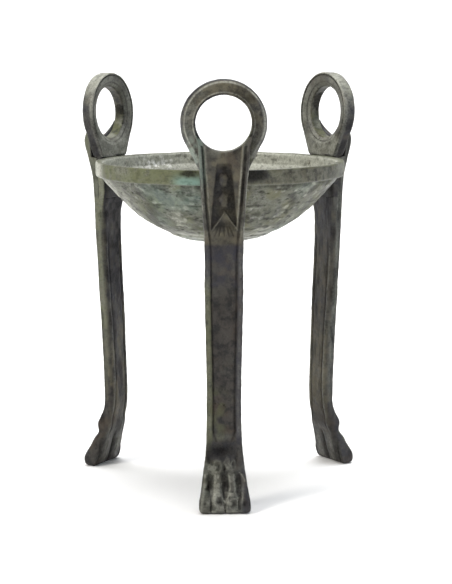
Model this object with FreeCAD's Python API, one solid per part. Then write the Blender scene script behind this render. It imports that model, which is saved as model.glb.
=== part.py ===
"""Small cast-bronze tripod brazier: an open bowl held at its rim by three lion-paw strap legs.

Millimetres, +Z up. The origin is on the tripod's axis at ground level, midway between the
three paws. Every leg assembly is modelled in a leg frame, with +X radially outward and +Y
tangential, and is then turned about Z to its own azimuth: the front one faces -Y.
"""
import FreeCAD, Part
import math
import os

Vec = FreeCAD.Vector
UP = Vec(0, 0, 1)
GROUND = Vec(0, 0, 0)

# Tripod layout
LEG_AZIMUTHS = {"front": -90.0, "right": 30.0, "left": 150.0}

# Bowl
RIM_RADIUS = 54.5
RIM_TOP = 142.4
RIM_HEIGHT = 6.4
RIM_THICKNESS = 3.3
RIM_EDGE_ROUND = 0.6
BOWL_WALL = 2.3
BOWL_OUTLINE = [(0.0, 107.6), (12.0, 108.1), (22.7, 111.2), (33.0, 116.6), (43.3, 125.6), (51.2, 134.6)]
PAD_RADIUS = 22.0
PAD_RISE = 0.45
BOWL_LINE_RADIUS = 44.0
BOWL_LINE_HEIGHT = 126.3
BOWL_LINE_WIDTH = 0.7

# Ring handle: an upright ring on the leg's head, its axis radial and leaning outward with height
RING_CENTRE_RADIUS = 57.65
RING_CENTRE_HEIGHT = 162.13
RING_LEAN = 2.2
RING_OUTER_R = 17.76
RING_BORE_R = 11.5
RING_DEPTH = 6.47
BORE_WALL_FROM = -1.0
BORE_WALL_TO = 2.9
WEB_TOP_HALF_WIDTH = 14.95
WEB_TOP_DROP = 9.6
WEB_FOOT_HALF_WIDTH = 9.9
WEB_FOOT_DROP = 19.1

# Tang: the flat tongue under the ring, lapped between the bowl's rim band and the leg
TANG_INNER = 54.0
TANG_OUTER = 57.0
TANG_HALF_WIDTH = 8.2
TANG_BOTTOM = 124.0
TANG_INTO_RING = 1.2

# Leg: side outlines as (radius, height), from the sole up
LEG_OUTER = [
    (65.2, 0.0), (66.6, 3.2), (65.4, 6.2), (62.7, 10.0), (61.0, 13.2), (59.4, 16.2), (59.9, 19.0),
    (58.8, 22.8), (56.9, 27.0), (56.4, 34.0), (57.0, 50.0), (58.1, 75.0), (59.4, 100.0), (60.1, 120.0),
    (60.4, 133.0), (61.7, 140.0), (63.2, 146.5), (63.5, 150.8), (62.6, 153.6), (61.6, 155.8), (61.2, 158.0),
]
LEG_INNER = [
    (60.3, 0.0), (59.1, 3.2), (57.6, 8.0), (55.9, 14.0), (54.4, 20.0), (52.9, 25.5), (52.1, 33.0),
    (52.4, 50.0), (53.4, 72.0), (54.7, 95.0), (55.0, 112.0), (54.6, TANG_BOTTOM),
]
# Leg: front outline as (half width, height), from the sole up to the root of the shoulder horns
LEG_HALF_WIDTHS = [
    (10.3, 0.0), (10.8, 2.4), (10.3, 6.5), (9.3, 13.0), (8.4, 19.0), (7.7, 25.5), (7.3, 36.0), (7.25, 50.0),
    (7.65, 72.0), (8.0, 98.0), (8.1, 116.0), (8.75, 128.0), (9.6, 138.0), (10.3, 147.0), (10.7, 152.0),
]
HORN_TIP = (11.9, 157.6)
SADDLE_RADIUS = 12.1

# Relief cut into the leg's faces
GROOVE_WIDTH = 0.9
GROOVE_DEPTH = 0.6
BACK_GROOVE = [(3.9, 29.0), (3.8, 50.0), (4.1, 85.0), (4.5, 118.0)]
SHAFT_GROOVE = [(4.7, 29.0), (4.6, 50.0), (4.9, 85.0), (5.3, 116.0), (6.4, 128.0), (7.5, 138.0), (8.4, 149.0)]
TONGUE_DEPTH = 0.9
TONGUE_OUTLINE = [(2.4, 145.2), (3.4, 141.6), (4.3, 134.6), (4.9, 126.0), (5.1, 119.0)]
CHEVRON_APEX = 126.3
LOZENGE_HEIGHTS = (139.0, 130.6)
LOZENGE_HALF_SIZE = (1.8, 3.6)

# Paw
TOE_GAPS = (-5.75, 0.0, 5.75)
TOE_GAP_RADIUS = 1.15
TOE_GAP_FOOT = (68.3, 0.8)
TOE_GAP_HEAD = (61.2, 15.2)
KNUCKLE_GAP_RADIUS = 0.9
KNUCKLE_GAP_FOOT = (60.4, 16.4)
KNUCKLE_GAP_HEAD = (59.4, 24.4)
ANKLE_HOLLOW_RADIUS = 2.0
ANKLE_HOLLOW_AT = (59.2, 25.2)

# Rivets
RIVET_RADIUS = 1.25
RIM_RIVET_HEIGHT = 139.2
RIM_RIVET_OFFSETS = {"a": -5.6, "b": 5.6}
RIM_RIVET_SPAN = (50.6, 59.4)
TANG_RIVET_HEIGHT = 128.6
TANG_RIVET_SPAN = (54.0, 58.9)

# Reaches of the cutting and trimming shapes, well beyond the leg
FAR_INSIDE = 45.0
FAR_OUTSIDE = 75.0
HALF_SPAN = 20.0


def spline(points):
    """A smooth edge through the given points."""
    curve = Part.BSplineCurve()
    curve.interpolate(points)
    return curve.toShape()


def polyline(points):
    """Straight edges from point to point."""
    return [Part.makeLine(a, b) for a, b in zip(points, points[1:])]


def face_of(edges):
    """The flat face inside a closed run of edges."""
    return Part.Face(Part.Wire(Part.__sortEdges__(edges)))


def side_points(outline, inset=0.0):
    """An outline of (radius, height) pairs as points in the leg's side plane."""
    return [Vec(r - inset, 0, z) for r, z in outline]


def front_points(outline, side=1):
    """An outline of (half width, height) pairs as points in the leg's front plane."""
    return [Vec(0, side * y, z) for y, z in outline]


def thick_across(face):
    """A side-plane face given the whole width of the leg."""
    face.translate(Vec(0, -HALF_SPAN, 0))
    return face.extrude(Vec(0, 2 * HALF_SPAN, 0))


def thick_outward(face):
    """A front-plane face given the whole depth of the leg."""
    face.translate(Vec(FAR_INSIDE, 0, 0))
    return face.extrude(Vec(FAR_OUTSIDE - FAR_INSIDE, 0, 0))


def ring_frame(shape):
    """Moves a shape from the ring's own frame, axis +X through its centre, into the leg frame."""
    placed = shape.copy()
    placed.rotate(GROUND, Vec(0, 1, 0), RING_LEAN)
    placed.translate(Vec(RING_CENTRE_RADIUS, 0, RING_CENTRE_HEIGHT))
    return placed


def ring_seat_height():
    """Height of the leg's ledge, just under the lowest corner of the leaning ring."""
    lean = math.radians(RING_LEAN)
    return RING_CENTRE_HEIGHT - WEB_FOOT_DROP * math.cos(lean) - RING_DEPTH / 2 * math.sin(lean)


def face_radius(height):
    """Radius of the ring's outer face plane at a height."""
    rise = height - RING_CENTRE_HEIGHT
    return RING_CENTRE_RADIUS + RING_DEPTH / 2 + rise * math.tan(math.radians(RING_LEAN))


def bowl_filling(points, brim):
    """The solid of revolution inside a curved outline, closed across at the height of its brim."""
    closing = polyline(brim + [Vec(0, 0, brim[-1].z), points[0]])
    return face_of([spline(points)] + closing).revolve(GROUND, UP, 360)


def make_bowl():
    """Revolved bowl: curved wall, turned-down rim band and a low round pad underneath."""
    outer_points = [Vec(r, 0, z) for r, z in BOWL_OUTLINE]
    curve = Part.BSplineCurve()
    curve.interpolate(outer_points)
    inner_points = [Vec(0, 0, BOWL_OUTLINE[0][1] + BOWL_WALL)]
    for point in outer_points[1:]:
        tangent = curve.tangent(curve.parameter(point))[0]
        inner_points.append(point + Vec(-tangent.z, 0, tangent.x) * BOWL_WALL)
    hollow = bowl_filling(inner_points, inner_points[-1:])
    band_bottom = RIM_TOP - RIM_HEIGHT
    band = face_of(polyline([
        outer_points[-1],
        Vec(outer_points[-1].x + 0.6, 0, band_bottom),
        Vec(RIM_RADIUS, 0, band_bottom),
        Vec(RIM_RADIUS, 0, RIM_TOP),
        Vec(RIM_RADIUS - RIM_THICKNESS, 0, RIM_TOP),
        Vec(RIM_RADIUS - RIM_THICKNESS - 0.7, 0, band_bottom + 0.6),
        inner_points[-1],
        outer_points[-1],
    ])).revolve(GROUND, UP, 360)
    rim_edges = [
        edge for edge in band.Edges
        if edge.BoundBox.XMax > RIM_RADIUS - 0.01 and edge.BoundBox.ZLength < 0.01
    ]
    band = band.makeFillet(RIM_EDGE_ROUND, rim_edges)
    filling = bowl_filling(outer_points, [outer_points[-1], inner_points[-1]])
    lowered = filling.copy()
    lowered.translate(Vec(0, 0, -PAD_RISE))
    pad = lowered.common(Part.makeCylinder(PAD_RADIUS, RIM_TOP))
    on_wall = curve.value(curve.parameter(Vec(BOWL_LINE_RADIUS, 0, BOWL_LINE_HEIGHT)))
    line = Part.makeTorus(on_wall.x, BOWL_LINE_WIDTH / 2, Vec(0, 0, on_wall.z), UP)
    wall = filling.fuse(pad).cut(hollow).cut(line)
    return wall.fuse(band).removeSplitter()


def ring_profile():
    """Section of the ring: x along its axis, z as the distance from that axis.

    The side towards the bowl falls away in a bead from its outer lip to the bevelled bore.
    """
    face = RING_DEPTH / 2
    bore_edge = Vec(BORE_WALL_FROM, 0, RING_BORE_R)
    inner_bevel = Vec(BORE_WALL_FROM - 0.6, 0, RING_BORE_R + 0.8)
    bore_bevel = Vec(face, 0, RING_BORE_R + 0.6)
    outer_ridge = Vec(face - 0.2, 0, RING_OUTER_R - 1.15)
    inner_lip = Vec(-face, 0, RING_OUTER_R - 0.5)
    groove_floor = Vec(-face + 0.6, 0, RING_OUTER_R - 1.1)
    bead_edge = Vec(-face + 0.1, 0, RING_OUTER_R - 1.6)
    bead_middle = Vec(-face + 0.6, 0, (RING_BORE_R + RING_OUTER_R) / 2 - 0.4)
    return face_of(
        polyline([inner_bevel, bore_edge, Vec(BORE_WALL_TO, 0, RING_BORE_R), bore_bevel])
        + [Part.Arc(bore_bevel, Vec(face - 0.4, 0, 14.6), outer_ridge).toShape()]
        + polyline([
            outer_ridge, Vec(face - 1.4, 0, RING_OUTER_R), Vec(-face + 0.6, 0, RING_OUTER_R),
            inner_lip, groove_floor, bead_edge,
        ])
        + [Part.Arc(bead_edge, bead_middle, inner_bevel).toShape()]
    )


def make_ring_handle():
    """Ring with its filled-out foot and the tang that laps behind the leg."""
    ring = ring_profile().revolve(GROUND, Vec(1, 0, 0), 360)
    flank = [
        Vec(0, -WEB_TOP_HALF_WIDTH, -WEB_TOP_DROP), Vec(0, -WEB_FOOT_HALF_WIDTH, -WEB_FOOT_DROP),
        Vec(0, WEB_FOOT_HALF_WIDTH, -WEB_FOOT_DROP), Vec(0, WEB_TOP_HALF_WIDTH, -WEB_TOP_DROP),
    ]
    web = face_of(polyline(flank + flank[:1]))
    web.translate(Vec(-RING_DEPTH / 2 + 0.3, 0, 0))
    web = web.extrude(Vec(RING_DEPTH - 0.3, 0, 0))
    hole = Part.makeCylinder(RING_OUTER_R - 1.4, 2 * RING_DEPTH, Vec(-RING_DEPTH, 0, 0), Vec(1, 0, 0))
    handle = ring_frame(ring.fuse(web.cut(hole)))
    tang_top = ring_seat_height() + TANG_INTO_RING
    tang = Part.makeBox(
        TANG_OUTER - TANG_INNER, 2 * TANG_HALF_WIDTH, tang_top - TANG_BOTTOM,
        Vec(TANG_INNER, -TANG_HALF_WIDTH, TANG_BOTTOM),
    )
    rim = Part.makeCylinder(RIM_RADIUS, RIM_HEIGHT, Vec(0, 0, RIM_TOP - RIM_HEIGHT))
    return handle.fuse(tang.cut(rim)).removeSplitter()


def leg_block():
    """The leg's body: its side outline and its front outline, each given depth, in common."""
    ledge = ring_seat_height()
    top = LEG_OUTER[-1][1]
    head = side_points([
        LEG_OUTER[-1], (face_radius(top), top), (face_radius(ledge), ledge), (TANG_OUTER, ledge),
        (TANG_OUTER, TANG_BOTTOM), LEG_INNER[-1],
    ])
    sole = side_points([LEG_INNER[0], LEG_OUTER[0]])
    side = face_of(
        [spline(side_points(LEG_OUTER)), spline(side_points(LEG_INNER))] + polyline(head) + polyline(sole)
    )
    saddle = Part.Arc(
        Vec(0, -HORN_TIP[0], HORN_TIP[1]),
        Vec(0, 0, RING_CENTRE_HEIGHT - SADDLE_RADIUS),
        Vec(0, HORN_TIP[0], HORN_TIP[1]),
    ).toShape()
    edges = [saddle]
    for way in (-1, 1):
        edges.append(spline(front_points(LEG_HALF_WIDTHS, way)))
        edges += polyline(front_points([LEG_HALF_WIDTHS[-1], HORN_TIP], way))
    sole_width = LEG_HALF_WIDTHS[0][0]
    edges += polyline([Vec(0, -sole_width, 0), Vec(0, sole_width, 0)])
    return thick_across(side).common(thick_outward(face_of(edges)))


def ahead_of_face(depth):
    """All the space in front of the leg's front face once that face is sunk by a depth."""
    front = side_points(LEG_OUTER, depth)
    beyond = [front[-1], Vec(FAR_OUTSIDE, 0, front[-1].z), Vec(FAR_OUTSIDE, 0, front[0].z), front[0]]
    return thick_across(face_of([spline(front)] + polyline(beyond)))


def behind_face(depth):
    """All the space behind the leg's inner face once that face is sunk by a depth."""
    back = side_points(LEG_INNER, -depth)
    beyond = [back[-1], Vec(FAR_INSIDE, 0, back[-1].z), Vec(FAR_INSIDE, 0, back[0].z), back[0]]
    return thick_across(face_of([spline(back)] + polyline(beyond)))


def groove_plan(centre_line, way):
    """Plan of one long groove along a line of (distance off centre, height) pairs."""
    inner_side = front_points([(y - GROOVE_WIDTH / 2, z) for y, z in centre_line], way)
    outer_side = front_points([(y + GROOVE_WIDTH / 2, z) for y, z in centre_line], way)
    ends = polyline([inner_side[0], outer_side[0]]) + polyline([inner_side[-1], outer_side[-1]])
    return face_of([spline(inner_side), spline(outer_side)] + ends)


def tongue_relief():
    """Cutter for the sunk tongue below the ring, leaving its two lozenges and its leaf standing."""
    left = front_points(TONGUE_OUTLINE, -1)
    right = front_points(TONGUE_OUTLINE, 1)
    foot = [left[-1], Vec(0, 0, CHEVRON_APEX), right[-1]]
    tongue = thick_outward(face_of(
        [spline(left), spline(right)] + polyline([left[0], right[0]]) + polyline(foot)
    ))
    half_width, half_height = LOZENGE_HALF_SIZE
    for height in LOZENGE_HEIGHTS:
        lozenge = Part.Ellipse(Vec(0, 0, height + half_height), Vec(0, half_width, height), Vec(0, 0, height))
        tongue = tongue.cut(thick_outward(Part.Face(Part.Wire([lozenge.toShape()]))))
    return tongue.common(ahead_of_face(TONGUE_DEPTH))


def round_channel(foot, head, radius, offset):
    """A round cutter laid from one (radius, height) point to another, a given way off centre."""
    start = Vec(foot[0], offset, foot[1])
    run = Vec(head[0], offset, head[1]) - start
    return Part.makeCylinder(radius, run.Length, start, run)


def make_leg():
    """Strap leg with its shoulder horns, front mouldings and four-toed paw."""
    leg = leg_block()
    sunk_front = ahead_of_face(GROOVE_DEPTH)
    sunk_back = behind_face(GROOVE_DEPTH)
    for way in (-1, 1):
        leg = leg.cut(thick_outward(groove_plan(SHAFT_GROOVE, way)).common(sunk_front))
        leg = leg.cut(thick_outward(groove_plan(BACK_GROOVE, way)).common(sunk_back))
    leg = leg.cut(tongue_relief())
    for offset in TOE_GAPS:
        leg = leg.cut(round_channel(TOE_GAP_FOOT, TOE_GAP_HEAD, TOE_GAP_RADIUS, offset))
    leg = leg.cut(round_channel(KNUCKLE_GAP_FOOT, KNUCKLE_GAP_HEAD, KNUCKLE_GAP_RADIUS, 0.0))
    hollow = Part.makeSphere(ANKLE_HOLLOW_RADIUS, Vec(ANKLE_HOLLOW_AT[0], 0, ANKLE_HOLLOW_AT[1]))
    return leg.cut(hollow)


def make_rivet(height, offset, span):
    """A plain round rivet between two radii, its axis radial to the leg's own centre line."""
    return Part.makeCylinder(RIVET_RADIUS, span[1] - span[0], Vec(span[0], offset, height), Vec(1, 0, 0))


def leg_rivets(bowl_at_leg):
    """The rivets of one leg by name, in the leg frame; those in the rim are filed flush inside."""
    rivets = {}
    inside_rim = Part.makeCylinder(RIM_RADIUS - RIM_THICKNESS, RIM_TOP, GROUND).cut(bowl_at_leg)
    for name, offset in RIM_RIVET_OFFSETS.items():
        rivet = make_rivet(RIM_RIVET_HEIGHT, offset, RIM_RIVET_SPAN)
        rivets["rim_rivet_{}_" + name] = rivet.cut(inside_rim)
    rivets["tang_rivet_{}"] = make_rivet(TANG_RIVET_HEIGHT, 0.0, TANG_RIVET_SPAN)
    return rivets


def turned(shape, azimuth):
    """A copy of a leg-frame shape turned to a leg's azimuth."""
    copy = shape.copy()
    copy.rotate(GROUND, UP, azimuth)
    return copy


def build():
    """All nodes by name."""
    bowl = make_bowl()
    leg = make_leg()
    handle = make_ring_handle()
    rivets = leg_rivets(bowl)
    for rivet in rivets.values():
        leg = leg.cut(rivet)
        handle = handle.cut(rivet)
    nodes = {}
    for place, azimuth in LEG_AZIMUTHS.items():
        nodes["leg_" + place] = turned(leg, azimuth)
        nodes["ring_handle_" + place] = turned(handle, azimuth)
        for name, rivet in rivets.items():
            node = name.format(place)
            nodes[node] = turned(rivet, azimuth)
            bowl = bowl.cut(nodes[node])
    nodes["bowl"] = bowl
    return nodes


def single_solid(name, shape):
    """The one solid that a node consists of."""
    if len(shape.Solids) != 1 or not shape.isValid():
        raise ValueError(f"{name}: {len(shape.Solids)} solids, valid {shape.isValid()}")
    return shape.Solids[0]


os.makedirs("parts", exist_ok=True)
for node, shape in build().items():
    single_solid(node, shape).exportStep(f"parts/{node}.step")
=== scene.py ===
"""Looks of a small cast-bronze tripod brazier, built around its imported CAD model.

Shapes are worked out in millimetres and turned into metres when a mesh is made. Each leg
assembly is built in a leg frame, with x radially outward and y tangential, and turned about
z to its azimuth. A surface is a grid of points, pushed along its normals by cast relief.
"""
import math

import bmesh
import bpy
import numpy as np
from mathutils import Matrix, Vector


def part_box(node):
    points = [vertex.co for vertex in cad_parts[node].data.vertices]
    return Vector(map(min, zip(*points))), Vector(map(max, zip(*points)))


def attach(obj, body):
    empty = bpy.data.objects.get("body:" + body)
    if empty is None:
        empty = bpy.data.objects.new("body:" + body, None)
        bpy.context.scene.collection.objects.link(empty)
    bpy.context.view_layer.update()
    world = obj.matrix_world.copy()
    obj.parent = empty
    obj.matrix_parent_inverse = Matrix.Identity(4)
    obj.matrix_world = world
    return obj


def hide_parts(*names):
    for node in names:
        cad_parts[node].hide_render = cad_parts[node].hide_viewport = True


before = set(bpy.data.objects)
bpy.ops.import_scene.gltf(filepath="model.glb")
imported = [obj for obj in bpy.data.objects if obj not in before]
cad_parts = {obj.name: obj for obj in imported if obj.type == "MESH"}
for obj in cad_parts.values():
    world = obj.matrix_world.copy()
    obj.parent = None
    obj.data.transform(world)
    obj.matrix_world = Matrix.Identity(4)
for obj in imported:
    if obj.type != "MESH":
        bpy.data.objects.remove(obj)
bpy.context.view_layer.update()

MM = 0.001
LEG_AZIMUTHS = {"front": -90.0, "right": 30.0, "left": 150.0}


# -------- sizes, with the main ones from the frame
def millimetres(corner):
    """A corner of a node's box in millimetres."""
    return [value / MM for value in corner]


bowl_high = millimetres(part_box("bowl")[1])
ring_low, ring_high = (millimetres(c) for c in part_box("ring_handle_front"))
leg_high = millimetres(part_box("leg_front")[1])

RIM_RADIUS = bowl_high[0]
RIM_TOP = bowl_high[2]
BAND_HEIGHT = 6.4
BAND_THICKNESS = 3.3
BAND_BOTTOM = RIM_TOP - BAND_HEIGHT
WALL = 2.3
PAD_RADIUS = 22.0
PAD_RISE = 0.45
PAD_RIDGES = (9.0, 14.0, 18.0, 21.3)
LINE_RADIUS = 44.0

RING_LEAN = math.radians(2.2)
RING_OUTER = ring_high[0]
RING_THICKNESS = 6.26
RING_BORE = RING_OUTER - RING_THICKNESS
RING_DEPTH = 6.47
RING_CENTRE_R = 57.65
RING_TOP_DROP = RING_OUTER * math.cos(RING_LEAN)
RING_TOP_LEAN = RING_DEPTH / 2 * math.sin(RING_LEAN)
RING_CENTRE_Z = ring_high[2] - RING_TOP_DROP - RING_TOP_LEAN + 0.05
RING_FACE_R = RING_CENTRE_R + RING_DEPTH / 2
FOOT_HALF = 9.9
FOOT_SHOULDER = (14.95, -9.6)
FOOT_DROP = RING_CENTRE_Z - RIM_TOP + 0.15

TANG_INNER = 54.0
TANG_OUTER = 57.0
TANG_BOTTOM = ring_low[2]
LEDGE = RING_CENTRE_Z - FOOT_DROP - 0.1

HORN_TOP = leg_high[2]
SADDLE_RADIUS = 12.1
SADDLE_LOW = RING_CENTRE_Z - SADDLE_RADIUS


# -------- small maths
def fade(low, high, value):
    """0 at the low limit and 1 at the high one, with soft ends; falling if the limits are swapped."""
    t = np.clip((value - low) / (high - low), 0.0, 1.0)
    return t * t * (3.0 - 2.0 * t)


def bump(value, centre, width):
    """A soft ridge, 1 at its centre line and fading out over about its width."""
    return np.exp(-((value - centre) / width) ** 2)


def window(value, low, high, soft):
    """1 between two limits, fading to 0 over a soft distance outside them."""
    return fade(low - soft, low, value) * (1.0 - fade(high, high + soft, value))


def spot(x, z, middle, size):
    """A soft oval spot, 1 at its middle and fading out over about its size each way."""
    return np.exp(-((x - middle[0]) / size[0]) ** 2 - ((z - middle[1]) / size[1]) ** 2)


def dome(away):
    """Height of a half round, 1 at its middle and 0 from a distance of 1 outward."""
    return np.sqrt(np.clip(1.0 - away ** 2, 0.0, 1.0))


def curve_through(points):
    """A natural cubic through (place, value) points, as a function of place."""
    xs = np.array([p[0] for p in points], float)
    ys = np.array([p[1] for p in points], float)
    gaps = np.diff(xs)
    count = len(xs)
    system = np.eye(count)
    right = np.zeros(count)
    for i in range(1, count - 1):
        system[i, i - 1] = gaps[i - 1]
        system[i, i] = 2.0 * (gaps[i - 1] + gaps[i])
        system[i, i + 1] = gaps[i]
        right[i] = 6.0 * ((ys[i + 1] - ys[i]) / gaps[i] - (ys[i] - ys[i - 1]) / gaps[i - 1])
    bend = np.linalg.solve(system, right)

    def value(place):
        place = np.clip(place, xs[0], xs[-1])
        i = np.clip(np.searchsorted(xs, place, side="right") - 1, 0, count - 2)
        a = (xs[i + 1] - place) / gaps[i]
        b = 1.0 - a
        arch = ((a ** 3 - a) * bend[i] + (b ** 3 - b) * bend[i + 1]) * gaps[i] ** 2 / 6.0
        return a * ys[i] + b * ys[i + 1] + arch

    return value


def random_of(cells, seed):
    """A repeatable number from 0 to 1 for each whole-number cell."""
    n = cells[..., 0] * 73856093 ^ cells[..., 1] * 19349663 ^ cells[..., 2] * 83492791 ^ seed * 2654435
    n = (n ^ (n >> 13)) * 1274126177 & 0x7FFFFFFF
    n = (n ^ (n >> 15)) * 668265263 & 0x7FFFFFFF
    return (n ^ (n >> 11)) % 100003 / 100003.0


def in_cells(points, size):
    """Points in units of a size, and the whole-number cells that they lie in."""
    place = points / size + 512.0
    return place, np.floor(place).astype(np.int64)


def noise(points, size, seed):
    """Smooth noise from -1 to 1, with features about one size across."""
    place, cells = in_cells(points, size)
    t = place - cells
    t = t * t * (3.0 - 2.0 * t)
    total = 0.0
    for corner in np.ndindex(2, 2, 2):
        share = np.prod(np.where(corner, t, 1.0 - t), axis=-1)
        total = total + share * random_of(cells + np.array(corner), seed)
    return 2.0 * total - 1.0


def rough(points, size, seed, octaves=4):
    """Noise with finer and finer detail on top."""
    return sum(noise(points, size / 2 ** k, seed + k) * 0.5 ** k for k in range(octaves))


def pits(points, spacing, radius, seed, share=0.5):
    """Round casting pits, 1 at the middle of each and 0 outside; a share of the cells has one."""
    place, cells = in_cells(points, spacing)
    depth = np.zeros(points.shape[:-1])
    for step in np.ndindex(3, 3, 3):
        cell = cells + np.array(step) - 1
        middle = np.stack([random_of(cell, seed + k) for k in range(3)], axis=-1) + cell
        size = radius / spacing * (0.5 + random_of(cell, seed + 3))
        present = random_of(cell, seed + 4) < share
        near = np.linalg.norm(place - middle, axis=-1) / size
        depth = np.maximum(depth, np.where(present, np.clip(1.0 - near ** 2, 0.0, 1.0), 0.0))
    return depth


# -------- relief and meshes
# The dark mark is dirt and also painted shade in hollows, creases, under parts and in cast shadows; the
# rubbed mark is worn bronze and also painted glints and highlights.
MARKS = ("wear_and_glints", "grime_and_shade", "pale", "olive", "verdigris", "blue", "tan")


class Relief:
    """Heights over a surface, and for each place how rubbed, grimy and discoloured it is; painted glints go
    with the rubbing and painted shade with the grime.
    """

    def __init__(self, shape):
        self.height = np.zeros(shape)
        for name in MARKS:
            setattr(self, name, np.zeros(shape))

    def marks(self):
        return {name: getattr(self, name) for name in MARKS}

    def stain(self, name, amount):
        """Marks a stain where it is stronger than what is there already."""
        setattr(self, name, np.maximum(getattr(self, name), amount))

    def add(self, amount, weight, mark=1.0):
        """Raises (or sinks) the surface by an amount, and marks it as rubbed (or grimy, which also paints
        shade into the sunk place).
        """
        self.height += amount * weight
        marked = np.clip(weight * mark, 0.0, 1.0)
        if amount > 0:
            self.wear_and_glints = np.maximum(self.wear_and_glints, marked)
        else:
            self.grime_and_shade = np.maximum(self.grime_and_shade, marked)


def grid_normals(points, closed_columns=True):
    """Unit normals of a grid of points, rows by columns."""
    down = np.gradient(points, axis=0)
    if closed_columns:
        along = (np.roll(points, -1, axis=1) - np.roll(points, 1, axis=1)) / 2.0
    else:
        along = np.gradient(points, axis=1)
    normal = np.cross(along, down)
    return normal / np.maximum(np.linalg.norm(normal, axis=-1, keepdims=True), 1e-9)


def grid_faces(rows, columns):
    """Quads between the rows of a grid whose columns close on themselves."""
    row = np.arange(rows - 1)[:, None] * columns
    a = np.arange(columns)[None, :]
    b = (a + 1) % columns
    quads = np.stack([row + a, row + b, row + columns + b, row + columns + a], axis=-1)
    return quads.reshape(-1, 4)


def new_object(name, data):
    made = bpy.data.objects.new(name, data)
    bpy.context.scene.collection.objects.link(made)
    return made


def make_piece(name, node, material, grids, azimuth=0.0):
    """One mesh object from grids of (points, marks), welded where they meet, in metres."""
    mesh = bpy.data.meshes.new(name)
    turn = math.radians(azimuth)
    all_points, all_faces, start = [], [], 0
    marks = {name: [] for name in MARKS}
    for points, values in grids:
        rows, columns = points.shape[:2]
        flat = points.reshape(-1, 3) * MM
        x = flat[:, 0] * math.cos(turn) - flat[:, 1] * math.sin(turn)
        y = flat[:, 0] * math.sin(turn) + flat[:, 1] * math.cos(turn)
        all_points.append(np.column_stack([x, y, flat[:, 2]]))
        all_faces.append(grid_faces(rows, columns) + start)
        for key, store in marks.items():
            value = values.get(key)
            store.append(np.zeros(rows * columns) if value is None else np.ravel(value))
        start += rows * columns
    mesh.from_pydata(np.concatenate(all_points).tolist(), [], np.concatenate(all_faces).tolist())
    for key, store in marks.items():
        layer = mesh.attributes.new(key, "FLOAT", "POINT")
        layer.data.foreach_set("value", np.clip(np.concatenate(store), 0.0, 1.0).astype(np.float32))
    piece = new_object(name, mesh)
    weld(mesh)
    mesh.polygons.foreach_set("use_smooth", [True] * len(mesh.polygons))
    mesh.materials.append(material)
    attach(piece, "root")
    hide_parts(node)
    return piece


def weld(mesh):
    """Joins points that coincide, and drops the faces that this flattens."""
    work = bmesh.new()
    work.from_mesh(mesh)
    bmesh.ops.remove_doubles(work, verts=work.verts, dist=2e-6)
    bmesh.ops.dissolve_degenerate(work, edges=work.edges, dist=1e-7)
    bmesh.ops.recalc_face_normals(work, faces=work.faces)
    work.to_mesh(mesh)
    work.free()


# -------- bowl
BOWL_OUTLINE = [(0.0, 107.6), (12.0, 108.1), (22.7, 111.2), (33.0, 116.6), (43.3, 125.6), (51.2, 134.6)]
BOWL_COLUMNS = 840
FINE = 0.42


def resampled(points, spacing):
    """A polyline's points spaced evenly, as (n, 2)."""
    points = np.array(points, float)
    lengths = np.r_[0.0, np.cumsum(np.linalg.norm(np.diff(points, axis=0), axis=1))]
    count = max(2, int(round(lengths[-1] / spacing)) + 1)
    places = np.linspace(0.0, lengths[-1], count)
    return np.column_stack([np.interp(places, lengths, points[:, k]) for k in range(2)])


def rounded_corner(corner, start, end, radius, steps=4):
    """Points of a quarter turn inside a right-angled corner between two directions."""
    corner, start, end = (np.array(v, float) for v in (corner, start, end))
    centre = corner + radius * (start + end)
    angles = np.linspace(0.0, math.pi / 2, steps + 1)
    return [centre - radius * (end * math.cos(a) + start * math.sin(a)) for a in angles]


def bowl_profile():
    """The bowl's section from under its middle, up the outside, over the rim and down inside."""
    height_at = curve_through(BOWL_OUTLINE)
    outer_r = np.linspace(0.0, BOWL_OUTLINE[-1][0], 160)
    outer_z = height_at(outer_r)
    outer_z = outer_z - PAD_RISE * (1.0 - fade(PAD_RADIUS - 0.6, PAD_RADIUS + 1.6, outer_r))
    outer = np.column_stack([outer_r, outer_z])
    slope = np.gradient(height_at(outer_r), outer_r)
    tilt = np.sqrt(1.0 + slope ** 2)
    inner = np.column_stack([outer_r - WALL * slope / tilt, height_at(outer_r) + WALL / tilt])
    inner = inner[inner[:, 1] < BAND_BOTTOM - 0.4]
    inner_band = RIM_RADIUS - BAND_THICKNESS
    band = [(outer_r[-1] + 0.5, BAND_BOTTOM - 0.1)]
    band += rounded_corner((RIM_RADIUS, BAND_BOTTOM), (-1, 0), (0, 1), 0.9)
    band += rounded_corner((RIM_RADIUS, RIM_TOP), (0, -1), (-1, 0), 0.6)
    band += rounded_corner((inner_band, RIM_TOP), (1, 0), (0, -1), 1.3)
    band += [(inner_band - 0.5, BAND_BOTTOM + 1.2)]
    return resampled(np.vstack([outer, band, inner[::-1]]), FINE)


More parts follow.
